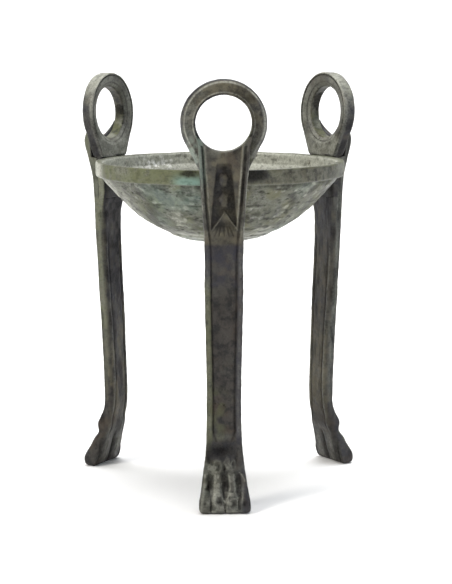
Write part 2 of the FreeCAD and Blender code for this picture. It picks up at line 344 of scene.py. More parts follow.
def make_bowl(material):
    profile = bowl_profile()
    angles = np.linspace(0.0, 2.0 * math.pi, BOWL_COLUMNS, endpoint=False)
    r = profile[:, 0][:, None]
    height = np.broadcast_to(profile[:, 1][:, None], (len(profile), len(angles)))
    points = np.stack([r * np.cos(angles), r * np.sin(angles), height], axis=-1)
    top = np.argmax(profile[:, 0] + profile[:, 1])
    row = np.arange(len(profile))[:, None]
    inside = (row > top) * fade(RIM_RADIUS - 1.2, RIM_RADIUS - 2.6, r)
    outside = (row < top) * fade(BAND_BOTTOM + 0.2, BAND_BOTTOM - 0.8, height)
    band = (row < top + 2) * fade(RIM_RADIUS - 0.9, RIM_RADIUS - 0.5, r)
    wall = np.clip(outside + inside, 0.0, 1.0)
    relief = Relief(points.shape[:2])
    relief.height += 0.18 * rough(points, 14.0, 3, 3) + 0.03 * rough(points, 1.1, 17, 2)
    lumps = rough(points, 3.6, 11, 3)
    relief.height += 0.13 * lumps * outside + 0.06 * lumps * band + 0.2 * inside * rough(points, 2.6, 29, 3)
    blisters = pits(points * np.array([0.62, 0.62, 1.25]), 2.8, 0.5, 37, 0.45)
    relief.add(-0.35, blisters * outside, 0.9)
    crowded = fade(-0.25, 0.35, noise(points, 15.0, 43))
    relief.add(-0.3, pits(points, 2.3, 0.5, 41, 0.4) * wall * crowded, 0.9)
    relief.add(-0.5, pits(points, 5.5, 0.95, 57, 0.4) * wall, 0.9)
    relief.add(-0.25, pits(points, 4.5, 0.5, 83, 0.35) * band, 0.8)
    broken = fade(-0.5, 0.3, noise(points, 9.0, 61))
    relief.add(-0.3, bump(r, LINE_RADIUS + 0.3 * lumps, 0.42) * outside * broken, 0.85)
    for ridge_radius in PAD_RIDGES:
        relief.add(0.14, bump(r, ridge_radius, 0.6) * outside, 0.4)
    filed = points * np.array([1.0, 1.0, 0.12])
    relief.height += 0.05 * band * rough(filed, 0.9, 71, 2)
    # Painted shade on the wall just under the band's lower edge.
    shade_under_band = 0.6 * outside * bump(height, BAND_BOTTOM - 0.5, 1.3) * broken
    # Painted shadow and dark patina on the band to the right of each leg, bluish and near black.
    shadow_and_dirt = band_shadow_and_dirt(points) * band
    relief.stain("blue", 0.85 * shadow_and_dirt)
    relief.stain("grime_and_shade", np.maximum(shade_under_band, shadow_and_dirt))
    bowl_weathering(relief, points, r, height, inside, outside, band)
    points = points + grid_normals(points) * relief.height[..., None]
    return make_piece("bowl_casting", "bowl", material, [(points, relief.marks())])


def bowl_weathering(relief, points, r, height, inside, outside, band):
    """Colours of the bowl: a pale inside with painted shade low down, on its floor and on the rim's top, and
    painted glints, an olive band, and a blotched wall with a pale left flank painted as rim light.
    """
    stain = relief.stain
    x = points[..., 0]
    blotches = fade(-0.1, 0.5, noise(points, 7.0, 101))
    small = fade(-0.3, 0.5, noise(points, 2.6, 103))
    floor = fade(RIM_RADIUS - 6.0, RIM_RADIUS - 14.0, r)
    # Painted shade: the lower inside, where the wall turns up to the overhead light, is painted darker, with
    # less pale bloom and more grime.
    shaded_low_inside = inside * fade(RIM_TOP - 3.4, RIM_TOP - 9.0, height)
    # Painted shade: the rim's top is painted darker and olive, holding back the brightness that the overhead
    # light gives it.
    top = fade(RIM_TOP - 0.7, RIM_TOP - 0.1, height)
    stain("pale", inside * (0.85 + 0.15 * small) * (1.0 - 0.8 * floor) * (1.0 - 0.7 * top))
    relief.pale *= 1.0 - 0.6 * shaded_low_inside
    stain("grime_and_shade", 0.3 * shaded_low_inside * (0.4 + 0.6 * small))
    stain("olive", 0.6 * top)
    stain("grime_and_shade", 0.45 * top * (0.4 + 0.6 * small))
    stain("grime_and_shade", 0.5 * inside * fade(0.3, 0.7, noise(points, 1.6, 105)))
    # Painted rim light: the wall and band at the bowl's left edge are painted pale.
    flank = fade(-30.0, -36.0, x) * fade(-23.0, -13.0, points[..., 1])
    stain("pale", (1.0 * outside * (0.5 + 0.5 * small) + 0.95 * band * fade(-48.5, -52.5, x)) * flank)
    stain("pale", 0.5 * outside * bump(r, PAD_RADIUS + 2.5, 2.0))
    towards_left = fade(8.0, -14.0, x) * (1.0 - 0.8 * fade(-49.0, -52.5, x))
    stain("olive", band * (0.35 + 0.65 * towards_left) * fade(-0.7, 0.3, noise(points, 11.0, 97)))
    stain("olive", 0.85 * outside * (0.25 + 0.75 * blotches) * (1.0 - flank))
    # Painted shade: the floor is painted darker, olive and grimy, against the overhead light; the pale bloom
    # is held back there too.
    stain("olive", 0.7 * inside * floor * (0.5 + 0.5 * blotches))
    stain("grime_and_shade", 0.3 * inside * floor * (0.4 + 0.6 * small))
    # Painted glints: light specks painted into the rubbed mark on the far inner wall, where the bronze
    # catches the light; the dirt is cleared under them.
    glints = spot(x, height, (-28.0, 138.0), (7.5, 3.0)) * (points[..., 1] > 0.0)
    stain("wear_and_glints", inside * glints * fade(0.1, 0.4, pits(points, 1.7, 0.9, 127, 0.8)))
    relief.grime_and_shade *= 1.0 - 0.7 * inside * glints
    bowl_stains(relief, points, height, outside, band, blotches, small)


def bowl_stains(relief, points, height, outside, band, blotches, small):
    """Dirt, bloom, a spot of painted shade in a small hollow, and patches of tan, blue and green on the
    bowl's wall and band.
    """
    stain = relief.stain
    x = points[..., 0]
    drawn_out = points * np.array([0.55, 0.55, 1.2])
    stain("grime_and_shade", 0.8 * outside * fade(0.1, 0.9, rough(drawn_out, 1.5, 111, 4)))
    broad = fade(0.0, 0.6, rough(points, 7.5, 117, 3))
    stain("grime_and_shade", (0.55 + 0.15 * fade(-10.0, 10.0, x)) * outside * broad)
    stain("grime_and_shade", 0.35 * band * fade(0.15, 0.8, rough(drawn_out, 1.3, 115, 3)))
    stain("pale", 0.5 * outside * fade(0.2, 1.0, rough(points, 2.6, 121, 4)))
    right_of_leg = fade(4.0, 10.0, x) * (1.0 - 0.7 * fade(34.0, 50.0, x))
    stain("tan", (0.6 * band + 0.5 * outside * blotches) * right_of_leg * (0.5 + 0.5 * small))
    stain("blue", 0.35 * outside * fade(0.1, 0.6, noise(points, 8.0, 109)) * (height > 118.0))
    green_wall = spot(x, height, (-15.0, 130.0), (9.0, 4.5)) * (points[..., 1] < 0.0)
    stain("verdigris", 0.4 * outside * green_wall * (0.4 + 0.6 * small))
    patch = points - np.array([-14.0, -52.5, BAND_BOTTOM + 1.7])
    blot = np.exp(-(patch[..., 0] / 6.5) ** 4 - (patch[..., 1] / 7.0) ** 2 - (patch[..., 2] / 2.3) ** 2)
    stain("verdigris", np.maximum(blot * band, 0.22 * outside * fade(0.1, 0.7, noise(points, 13.0, 107))))
    ragged = rough(points, 2.2, 119, 3)
    # Painted shade: a dark spot stands for a small hollow under the rim's top edge, left of the front leg.
    hollow_shade_spot = spot(x + 1.6 * ragged, height + 0.9 * ragged, (-13.8, RIM_TOP - 1.2), (3.2, 1.6))
    hollow_shade_spot *= points[..., 1] < 0.0
    stain("grime_and_shade", np.clip(1.5 * hollow_shade_spot, 0.0, 1.0) * band)
    relief.verdigris *= 1.0 - 0.7 * hollow_shade_spot


def band_shadow_and_dirt(points):
    """Painted shadow of each leg's head on the rim band to the leg's right, mixed with dark patina there."""
    # The painted shadow and dark patina, gathered over the three legs.
    dirt = 0.0
    high_up = fade(BAND_BOTTOM, BAND_BOTTOM + 3.5, points[..., 2])
    for number, azimuth in enumerate(LEG_AZIMUTHS.values()):
        turn = math.radians(azimuth)
        across = -points[..., 0] * math.sin(turn) + points[..., 1] * math.cos(turn)
        outward = points[..., 0] * math.cos(turn) + points[..., 1] * math.sin(turn)
        uneven = 1.6 * noise(points, 4.0, 113 + number)
        right = window(across, 8.0, 15.5 + 1.5 * uneven, 5.0) * high_up
        dirt = np.maximum(dirt, right * (outward > 0.0))
    return dirt


# -------- leg
LEG_OUTER = [
    (65.2, 0.0), (66.3, 3.2), (65.3, 6.2), (62.9, 10.0), (61.4, 13.0), (59.4, 16.0), (59.9, 19.0),
    (58.8, 22.8), (56.9, 27.0), (56.4, 34.0), (57.0, 50.0), (58.1, 75.0), (59.4, 100.0), (60.1, 120.0),
    (60.4, 133.0), (61.7, 140.0), (63.2, 146.5), (63.5, 150.8), (62.5, 153.4), (61.7, 155.8), (61.2, 158.0),
]
LEG_INNER = [
    (60.3, 0.0), (59.1, 3.2), (57.6, 8.0), (55.9, 14.0), (54.4, 20.0), (52.9, 25.5), (52.1, 33.0),
    (52.4, 50.0), (53.4, 72.0), (54.7, 95.0), (55.0, 112.0), (54.6, 124.0),
]
LEG_HALF_WIDTHS = [
    (10.3, 0.0), (10.8, 2.4), (10.3, 6.5), (9.3, 13.0), (8.4, 19.0), (7.7, 25.5), (7.3, 36.0), (7.25, 50.0),
    (7.65, 72.0), (8.0, 98.0), (8.2, 116.0), (8.95, 127.0), (9.7, 138.0), (10.3, 147.0), (10.7, 152.0),
    (11.9, 157.6),
]
FRONT_COLUMNS = 96
SIDE_COLUMNS = 14
CORNER_COLUMNS = 9
LEG_ROWS = 600
FRONT_CORNER = 0.7
BACK_CORNER = 2.3


def swapped(outline):
    return [(z, value) for value, z in outline]


outer_radius = curve_through(swapped(LEG_OUTER))
strap_inner_radius = curve_through(swapped(LEG_INNER))
half_width = curve_through(swapped(LEG_HALF_WIDTHS))


def face_radius(z):
    """Radius of the leaning ring's outer face at a height."""
    return RING_FACE_R + (z - RING_CENTRE_Z) * math.tan(RING_LEAN)


def inner_radius(z):
    """Radius of the leg's inner side: strap, then the rebate for the tang, then the ring's seat."""
    r = strap_inner_radius(z)
    r = np.where(z > TANG_BOTTOM, TANG_OUTER, r)
    return np.where(z > LEDGE, face_radius(z), r)


def section_template():
    """Weights of each point round the leg's section, from the left end of the front face.

    Columns: share of the half width, corner share across, front share (1 front, 0 back),
    corner share outward, and how much the point belongs to the front or the back face.
    """
    rows = []
    turns = np.linspace(0.0, math.pi / 2, CORNER_COLUMNS + 2)[1:-1]
    corner = [(math.sin(a), math.cos(a)) for a in turns]
    for way, here, there in ((1.0, 1.0, 0.0), (-1.0, 0.0, 1.0)):
        for s in np.linspace(-1.0, 1.0, FRONT_COLUMNS):
            rows.append((way * s, 0.0, here, way, here, there))
        for sine, cosine in corner:
            rows.append((way, way * sine, here, way * cosine, here * cosine, there * cosine))
        for s in np.linspace(here, there, SIDE_COLUMNS):
            rows.append((way, way, s, 0.0, 0.0, 0.0))
        for sine, cosine in corner:
            rows.append((way, way * cosine, there, -way * sine, there * sine, here * sine))
    return np.array(rows)


def on_face(x, z):
    """Points of the leg's face as a flat plane, for noise that shouldn't change with depth."""
    return np.stack([x, 0.0 * x, z], axis=-1)


def shaft_relief(relief, x, z, w, front):
    """Border bands, the grooves beside them and the flat panel between, up to the shoulder."""
    edge = w - np.abs(x)
    groove_at = 2.75 - 0.95 * fade(104.0, 126.0, z)
    shaft = front * fade(29.5, 34.0, z) * (z < 153.0)
    wide = np.where(x > 0.0, 0.55, 0.38)
    relief.add(-0.5, bump(edge, groove_at, wide) * shaft, 0.8)
    relief.add(0.18, bump(edge, 1.25, 0.8) * shaft, 0.2)
    high = shaft * fade(112.0, 130.0, z)
    relief.add(-0.4, bump(edge, groove_at, 1.5 * wide) * high, 1.0)
    relief.add(0.35, bump(edge, groove_at + 1.1, 0.4) * high, np.where(x > 0.0, 0.75, 0.4))
    tongue_end = np.sqrt((x / 4.4) ** 2 + np.clip(33.5 - z, 0.0, None) ** 2 / 6.2 ** 2)
    near_end = front * window(z, 28.0, 33.0, 1.5) * fade(2.0, 3.4, np.abs(x))
    relief.add(-0.35, bump(tongue_end, 1.0, 0.13) * near_end, 0.6)


SHOULDER_SIDE = [(119.0, 5.2), (126.0, 4.8), (134.6, 4.1), (141.6, 3.3), (145.6, 2.8)]
LOZENGES_Z = (139.1, 130.7)
KNOTS = ((144.2, 1.5), (134.9, 1.5), (126.6, 1.2))
LEAF_TIPS = (-3.6, -2.0, 0.1, 2.1, 3.8)


def shoulder_relief(relief, x, z, front):
    """Sunk tongue with two lozenges, and a palmette hanging below it, under the ring."""
    side = curve_through(SHOULDER_SIDE)(z)
    above_leaf = z - (126.0 - 1.42 * np.abs(x - 0.4))
    inside = fade(-0.35, 0.35, side - np.abs(x)) * fade(-0.5, 0.4, 145.6 - z)
    inside = inside * fade(-0.2, 0.4, above_leaf) * front
    relief.add(-0.95, inside, 0.95 - 0.4 * fade(140.0, 144.5, z))
    ragged = 0.3 * rough(on_face(x, z), 1.6, 151, 2)
    for middle in LOZENGES_Z:
        oval = np.hypot(x / 2.1, (z - middle) / 3.2) + ragged
        relief.add(0.7, dome(oval) * front, 0.05)
        relief.grime_and_shade *= 1.0 - 0.6 * fade(1.1, 0.4, oval) * front
        relief.stain("tan", 0.5 * fade(1.15, 0.6, oval) * front)
    for knot, size in KNOTS:
        relief.add(-0.5, bump(np.hypot(x / 1.5, z - knot), 0.0, size) * front, 1.0)
    left_of_middle = fade(0.5, -1.5, x)
    relief.stain("blue", inside * left_of_middle * (0.5 + ragged))
    leaf = front * window(z, 118.3, 126.4, 0.5)
    relief.add(0.3, bump(above_leaf, 0.0, 0.5) * leaf, np.where(x > 0.4, 0.5, 0.15))
    below = front * (above_leaf < -0.9)
    relief.add(-0.3, below * bump(z + ragged, 120.6 - 0.02 * x ** 2, 1.7), 0.9)
    for tip in LEAF_TIPS:
        along = np.clip((120.5 - z) / 4.8, 0.0, 1.0)
        blade = bump(x, tip * (0.55 + 0.5 * along), 0.75 - 0.6 * along) * window(z, 116.0, 120.0, 0.6)
        relief.add(-0.3, blade * front, 0.9)


OUTER_TOE = [(0.0, 8.1), (3.0, 8.1), (7.0, 8.1), (11.0, 8.3), (14.0, 7.9), (18.0, 6.9)]
OUTER_TOE_HALF = [(0.0, 2.4), (3.0, 2.3), (7.0, 2.0), (11.0, 1.5), (14.0, 1.2), (18.0, 0.8)]
INNER_TOE = [(0.0, 2.9), (5.0, 3.0), (8.0, 3.15), (11.0, 3.1), (15.0, 2.8), (18.0, 2.5)]
INNER_TOE_HALF = [(0.0, 2.8), (4.0, 2.6), (7.0, 2.2), (11.0, 1.6), (15.0, 1.6), (18.0, 1.2)]

# Thin rubbed lines of the paw, as (height, place across), with how strong each one is.
PAW_LINES = [
    ([(4.0, -4.2), (5.4, -4.7), (7.8, -5.1), (11.0, -4.1), (14.2, -4.2), (16.8, -3.5)], 0.65, 1.0),
    ([(4.8, -0.1), (6.4, -0.9), (9.0, -1.6), (12.0, -1.3)], 0.3, 0.75),
    ([(4.8, 0.2), (7.4, 1.2), (9.2, 1.7), (11.2, 2.2), (15.0, 1.8)], 0.35, 1.0),
    ([(2.0, 4.8), (4.6, 5.5), (7.2, 5.0), (11.0, 4.3), (15.5, 4.1)], 0.4, 1.0),
    ([(4.6, 7.0), (6.8, 7.3), (9.4, 6.9)], 0.5, 0.6),
    ([(13.2, 8.6), (14.4, 7.9), (16.2, 6.2)], 0.4, 0.5),
    ([(4.5, -9.3), (7.5, -9.1), (10.0, -8.6)], 0.4, 0.5),
    ([(5.0, -6.6), (7.0, -6.3), (9.0, -5.6)], 0.4, 0.35),
]

# Ring-shaped rubbed lines: middle, half axes and strength; the knuckles first, then the claws.
PAW_RINGS = [
    ((-3.0, 18.8), (1.6, 2.8), 1.0), ((1.1, 20.2), (0.95, 2.3), 1.0), ((3.6, 19.6), (1.0, 2.0), 0.85),
    ((3.7, 4.2), (1.8, 2.3), 0.8), ((-2.2, 5.0), (1.8, 2.5), 0.35), ((-8.2, 4.6), (1.5, 2.1), 0.3),
]

# Hollows, sunk and painted dark as shade and dirt: middle, size and depth.
PAW_HOLLOWS = [
    ((-0.8, 24.9), (5.2, 2.5), 1.1), ((5.0, 22.6), (1.4, 2.9), 0.7), ((-6.5, 22.0), (1.0, 2.6), 0.25),
    ((-2.6, 18.6), (0.7, 1.4), 0.3), ((1.1, 20.2), (0.45, 1.2), 0.25), ((3.4, 20.0), (0.6, 1.3), 0.3),
    ((0.0, 18.2), (0.45, 2.2), 0.8), ((-6.5, 10.6), (1.2, 2.5), 0.9), ((-7.0, 14.0), (1.3, 1.8), 0.35),
    ((0.1, 11.3), (1.3, 2.8), 1.1), ((0.1, 7.8), (0.8, 2.0), 0.7), ((5.7, 11.3), (1.1, 2.3), 0.9),
    ((6.3, 7.6), (0.6, 2.2), 0.5), ((-2.2, 5.3), (1.0, 1.6), 0.35), ((3.8, 4.4), (1.1, 1.3), 0.45),
    ((-8.4, 4.6), (1.0, 1.3), 0.35), ((8.1, 4.6), (1.1, 1.6), 0.4), ((0.4, 1.4), (0.3, 1.6), 0.5),
    ((6.1, 2.6), (0.4, 1.8), 0.5), ((-5.9, 2.6), (0.4, 1.8), 0.4),
]


def toe_swell(relief, x, z, toes, centre, half):
    """The rounded body of one toe, clearing the dirt and painted shade of the gaps beside it."""
    on_toe = dome((x - centre(z)) / half(z))
    relief.height += (0.65 + 0.35 * fade(0.6, 4.0, z)) * on_toe * toes
    relief.grime_and_shade *= 1.0 - 0.9 * fade(0.15, 0.6, on_toe) * toes


def paw_relief(relief, x, z, front):
    """Hollow of the ankle, two knuckles, and four toes with gaps between them painted dark as shade and
    dirt.
    """
    low = front * (1.0 - fade(27.6, 29.0, z))
    toes = front * (1.0 - fade(13.5, 18.0, z))
    gap = toes * fade(0.6, 4.0, z)
    relief.height -= 0.5 * toes + 0.4 * gap
    relief.stain("grime_and_shade", 0.75 * gap)
    for way in (-1.0, 1.0):
        for centre, half in ((INNER_TOE, INNER_TOE_HALF), (OUTER_TOE, OUTER_TOE_HALF)):
            centre_at = curve_through([(height, way * middle) for height, middle in centre])
            toe_swell(relief, x, z, toes, centre_at, curve_through(half))
        knuckle = np.hypot((x - way * 2.7) / 2.2, (z - 19.4) / 3.6)
        relief.height += 0.55 * dome(knuckle) * low
    wobble = 0.3 * rough(on_face(x, z), 1.7, 157, 2)
    for middle, size, depth in PAW_HOLLOWS:
        relief.add(-depth, spot(x + wobble, z + wobble, middle, size) * low, min(1.0, 0.45 + depth))
    broken = 0.45 + 0.55 * fade(-0.5, 0.3, rough(on_face(x, z), 2.4, 167, 2))
    for path, width, strength in PAW_LINES:
        at_height = window(z, path[0][0], path[-1][0], 0.7) * broken
        line = bump(x + wobble, curve_through(path)(z), width) * at_height * low
        relief.add(0.25 * strength, line, strength)
        relief.grime_and_shade *= 1.0 - 0.8 * line
    for middle, half, strength in PAW_RINGS:
        away = np.hypot((x + wobble - middle[0]) / half[0], (z - middle[1]) / half[1])
        line = bump(away, 1.0, 0.3 / half[0]) * low * broken * (0.75 - 0.25 * np.tanh(x - middle[0]))
        relief.add(0.2 * strength, line, 0.8 * strength)
        relief.grime_and_shade *= 1.0 - 0.7 * line


def back_relief(relief, x, z, w, back):
    """Inner side of the leg: two faint grooves, a heel, and two pads with grooves beside them."""
    edge = w - np.abs(x)
    shaft = back * window(z, 22.0, 98.0, 12.0)
    relief.add(-0.3, bump(edge, 3.2, 0.5) * shaft, 0.8)
    relief.add(0.15, bump(edge, 2.0, 0.8) * shaft, 0.3)
    relief.height += 1.0 * back * bump(z, 18.4, 3.4) * fade(9.0, 5.0, np.abs(x))
    pads = back * (1.0 - fade(9.0, 18.0, z)) * fade(0.0, 2.2, z)
    bulge = dome((np.abs(x) - 4.6) / 4.4)
    relief.height += 0.6 * bulge * pads
    relief.stain("wear_and_glints", 0.35 * fade(0.8, 1.0, bulge) * pads)
    relief.add(-0.45, (bump(x, 0.0, 0.6) + bump(np.abs(x), 9.1, 0.5)) * pads, 0.9)


def leg_grid():
    """The leg's outer skin before relief: rows up the leg, columns round its section."""
    template = section_template()
    share, corner_x, front_share, corner_r, front, back = template.T
    base = np.linspace(0.0, SADDLE_LOW, LEG_ROWS)[:, None]
    arch_height = HORN_TOP - SADDLE_LOW
    arch_radius = (half_width(HORN_TOP) ** 2 + arch_height ** 2) / (2.0 * arch_height)
    z = np.broadcast_to(base, (LEG_ROWS, len(template))).copy()
    for _ in range(4):
        across = np.clip(np.abs(share) * half_width(z), 0.0, half_width(HORN_TOP) - 0.02)
        rise = arch_radius - np.sqrt(arch_radius ** 2 - across ** 2)
        z = base + rise * fade(SADDLE_LOW - 12.0, SADDLE_LOW, base)
    w = half_width(z)
    r_out = outer_radius(z)
    r_in = inner_radius(z)
    front_corner = FRONT_CORNER + 0.7 * fade(24.0, 12.0, z)
    back_corner = BACK_CORNER * window(z, 14.0, 113.0, 12.0) + 0.5
    corner = front_share * front_corner + (1.0 - front_share) * back_corner
    corner = np.minimum(corner, (r_out - r_in) * 0.45)
    tread = 1.3
    round_in = tread - np.sqrt(tread ** 2 - np.clip(tread - z, 0.0, tread) ** 2)
    side_in = round_in * 0.8
    x = share * (w - corner - side_in) + corner_x * corner
    deep = front_share * (r_out - corner - round_in) + (1.0 - front_share) * (r_in + corner + round_in)
    r = deep + corner_r * corner
    return x, r, z, np.broadcast_to(front, x.shape), np.broadcast_to(back, x.shape)


def carried_on(marks, before, after):
    """Marks of a grid, with those of its end rows carried on over rows added before and after it."""
    return {key: np.pad(value, ((before, after), (0, 0)), mode="edge") for key, value in marks.items()}


def closed_top(points, marks, steps=5):
    """Rows that round the leg's top edge over and bring its front and back together."""
    last = points[-1]
    outward = np.sign(last[:, 0] - last[:, 0].mean())
    apart = np.abs(last[:, None, 1] - last[None, :, 1])
    mirror = np.argmin(apart + 100.0 * (outward[:, None] == outward[None, :]), axis=1)
    middle = (last[:, 0] + last[mirror, 0]) / 2.0
    half = last[:, 0] - middle
    rows = []
    for k in range(1, steps + 1):
        a = math.pi / 2 * k / steps
        row = last.copy()
        row[:, 0] = middle + half * math.cos(a)
        row[:, 2] = last[:, 2] + np.minimum(np.abs(half), 0.7) * math.sin(a)
        rows.append(row)
    return np.concatenate([points, rows]), carried_on(marks, 0, steps)


def closed_sole(points, marks, steps=4):
    """Rows that close the flat sole towards its middle."""
    first = points[0]
    centre = np.array([(first[:, 0].min() + first[:, 0].max()) / 2.0, 0.0, first[:, 2].min()])
    rows = []
    for k in range(steps, 0, -1):
        row = centre + (first - centre) * (1.0 - k / steps)
        row[:, 2] = 0.0
        rows.append(row)
    return np.concatenate([rows, points]), carried_on(marks, steps, 0)


def leg_weathering(relief, place, shifted, x, z, w, front, back):
    """Where a leg has turned olive, tan, bluish or pale, and where light and shade are painted on it."""
    stain = relief.stain
    patchy = fade(-0.3, 0.5, noise(shifted, 12.0, 131))
    small = fade(-0.4, 0.5, noise(shifted, 3.0, 133))
    edge = w - np.abs(x)
    border = front * fade(3.0, 2.0, edge)
    stain("grime_and_shade", 0.22 * front * window(z, 34.0, 112.0, 6.0) * small)
    # Partly painted light: the left border is painted olive, as its patina and as the warm light falling on
    # the left.
    stain("olive", 0.6 * border * (x < 0.0) * window(z, 34.0, 92.0, 12.0))
    stain("olive", 0.5 * front * window(z, 33.0, 48.0, 6.0) * fade(3.0, -3.0, x) * small)
    stain("olive", 0.3 * front * fade(24.0, 18.0, z) * fade(2.0, -5.0, x) * patchy)
    # Partly painted light: the right border is painted bluish-grey, as its patina and as the cooler, dimmer
    # light on the right.
    stain("blue", 0.75 * border * (x > 0.0) * window(z, 32.0, 108.0, 10.0))
    stain("blue", front * (z < 24.0) * fade(3.0, 8.0, x) * (0.3 + 0.4 * small))
    # Painted shadow: the hollow under the panel's end, above the paw, is painted bluish and near black.
    stain("blue", 0.4 * front * window(z, 22.5, 28.0, 1.5) * fade(7.0, 4.5, np.abs(x)))
    stain("grime_and_shade", 0.97 * front * spot(x, z, (-1.2, 24.9), (5.2, 2.6)) ** 0.6)
    stain("blue", front * window(z, 96.0, 111.0, 2.5) * (0.2 + 0.7 * small))
    stain("tan", 0.55 * front * window(z, 113.0, 117.5, 1.4) * (0.5 + 0.5 * small))
    stain("tan", 0.62 * front * window(z, 119.0, 150.0, 3.0) * fade(1.0, 3.0, edge) * (0.3 + 0.7 * small))
    drips = fade(-0.2, 0.5, noise(shifted * np.array([1.0, 1.0, 0.2]), 1.3, 149))
    stain("pale", 0.55 * front * fade(147.5, 151.0, z) * drips)
    stain("tan", 0.7 * front * window(z, 128.0, 158.0, 6.0) * (x > 0.0) * bump(edge, 3.0, 0.9))
    stain("pale", 0.3 * border * window(z, 118.0, 158.0, 6.0) * small)
    stain("pale", 0.4 * border * (x < 0.0) * window(z, 140.0, 158.0, 6.0))
    stain("verdigris", 0.25 * border * (x < 0.0) * window(z, 140.0, 158.0, 6.0))
    for middle, size in (((-4.2, 15.2), (1.7, 1.9)), ((-8.0, 17.5), (1.3, 2.6)), ((3.0, 16.8), (1.8, 1.6))):
        stain("pale", 0.5 * spot(x, z, middle, size) * front)
    stain("pale", 0.3 * front * spot(x, z, (0.0, 30.8), (3.6, 1.6)))
    stain("pale", 0.45 * front * spot(x, z, (-1.0, 1.0), (7.0, 1.6)))
    stain("pale", 0.9 * front * fade(22.5, 17.0, z) * fade(9.5, 3.5, x) * (0.3 + 0.7 * small))
    # Painted highlights: glossy light patches on the toes, painted into the rubbed mark.
    glossy = fade(0.0, 0.5, noise(shifted, 1.8, 135)) * fade(9.5, 3.5, x)
    stain("wear_and_glints", 0.5 * front * fade(22.5, 17.0, z) * glossy)
    # Shade and dirt in the paw's hollows painted darker still.
    relief.grime_and_shade = np.clip(relief.grime_and_shade * (1.0 + 0.2 * front * fade(24.0, 20.0, z)), 0.0, 1.0)
    side_weathering(relief, place, shifted, x, z, front, back, patchy, small)


def side_weathering(relief, place, shifted, x, z, front, back, patchy, small):
    """Colours of a leg's sides and inner face, which differ between the three legs, with painted warm light
    on the left leg's lit side and painted cool light on the right leg's sides.
    """
    stain = relief.stain
    sides = 1.0 - np.maximum(front, back)
    inner_blue = back * fade(50.0, 85.0, z) * (0.55 + 0.35 * small)
    stain("blue", inner_blue if place == "left" else 0.6 * inner_blue)
    stain("grime_and_shade", 0.9 * back * fade(60.0, 95.0, z) * (place == "left") * (0.5 + 0.5 * small))
    streaky = rough(shifted * np.array([1.0, 1.0, 0.22]), 2.0, 147, 3)
    stain("grime_and_shade", 0.6 * (1.0 - front) * fade(0.1, 0.7, streaky))
    stain("tan", 0.6 * (1.0 - front) * fade(0.0, 0.7, -streaky) * window(z, 30.0, 110.0, 15.0))
    if place == "left":
        # Partly painted light: the left leg's lit side is painted olive as its patina and pale as warm light
        # from the left.
        lit_side = sides * (x > 0.0) * fade(25.0, 80.0, z)
        stain("olive", lit_side * (0.5 + 0.5 * patchy))
        stain("pale", 0.5 * lit_side)
    if place == "right":
        lines = fade(-0.4, 0.5, noise(shifted * np.array([1.0, 1.0, 0.12]), 1.4, 145))
        # Partly painted light: the right leg's sides are painted bluish and pale, as streaked patina and as
        # cool light from the right.
        stain("blue", 0.5 * sides * (0.5 + 0.5 * patchy))
        stain("pale", 0.8 * sides * (0.35 + 0.65 * lines) * fade(20.0, 40.0, z))
        stain("grime_and_shade", 0.4 * back * fade(48.0, 30.0, z) * (0.4 + 0.6 * patchy))
        stain("tan", 0.75 * back * window(z, 40.0, 85.0, 25.0) * (0.4 + 0.6 * patchy))


def make_leg(place, azimuth, seed, material):
    x, r, z, front, back = leg_grid()
    w = half_width(z)
    relief = Relief(x.shape)
    shaft_relief(relief, x, z, w, front)
    shoulder_relief(relief, x, z, front)
    paw_relief(relief, x, z, front)
    back_relief(relief, x, z, w, back)
    points = np.stack([r, x, z], axis=-1)
    shifted = points + seed * 37.0
    uneven = fade(-0.7, 0.5, rough(shifted, 5.0, seed + 21, 2))
    relief.wear_and_glints *= 0.4 + 0.6 * uneven
    relief.grime_and_shade *= 0.65 + 0.35 * uneven
    cast = 0.11 * rough(shifted, 7.0, seed, 3) + 0.07 * rough(shifted, 1.8, seed + 5, 3)
    relief.add(-0.2, pits(shifted, 2.8, 0.45, seed + 9, 0.3) * np.maximum(front, 0.6), 0.8)
    corners = np.clip(4.0 * front * (1.0 - front), 0.0, 1.0)
    relief.stain("wear_and_glints", corners * fade(24.0, 34.0, z) * (0.3 + 0.7 * window(z, 114.0, 141.0, 6.0)) * uneven)
    leg_weathering(relief, place, shifted, x, z, w, front, back)
    points[..., 0] += relief.height * np.sign(front - back)
    seated = (z > TANG_BOTTOM) * back
    calm = 1.0 - np.clip(seated + (z < 0.6), 0.0, 1.0)
    points += grid_normals(points) * (cast * calm)[..., None]
    points[..., 2] = np.maximum(points[..., 2], 0.0)
    points, marks = closed_top(points, relief.marks())
    points, marks = closed_sole(points, marks)
    return make_piece(
        f"leg_{place}_casting", f"leg_{place}", material, [(points, marks)], azimuth)


# -------- ring handle
RING_COLUMNS = 320


def ring_profile():
    """Section of the ring as (place along its axis, distance from it), once round, closed."""
    face, bore, outer = RING_DEPTH / 2, RING_BORE, RING_OUTER
    outline = [(-1.0, bore), (2.75, bore), (3.05, bore + 0.15), (face, bore + 0.5)]
    outline += [(face - 0.1, bore + 0.95), (face - 0.3, bore + 1.4), (face - 0.45, 14.6)]
    outline += [(face - 0.35, outer - 1.8), (face - 0.15, outer - 1.35), (face - 0.3, outer - 0.95)]
    outline += [(face - 0.95, outer - 0.3), (face - 1.6, outer), (-face + 0.9, outer)]
    outline += [(-face + 0.3, outer - 0.15), (-face, outer - 0.5), (-face + 0.1, outer - 0.8)]
    outline += [(-face + 0.6, outer - 1.15), (-face + 0.2, outer - 1.6), (-face + 0.12, outer - 2.1)]
    outline += [(-face + 0.3, outer - 3.0), (-face + 0.75, outer - 4.2), (-face + 1.35, outer - 5.2)]
    outline += [(-face + 1.7, bore + 0.5), (-1.25, bore + 0.15), (-1.0, bore)]
    return resampled(outline, 0.2)[:-1]


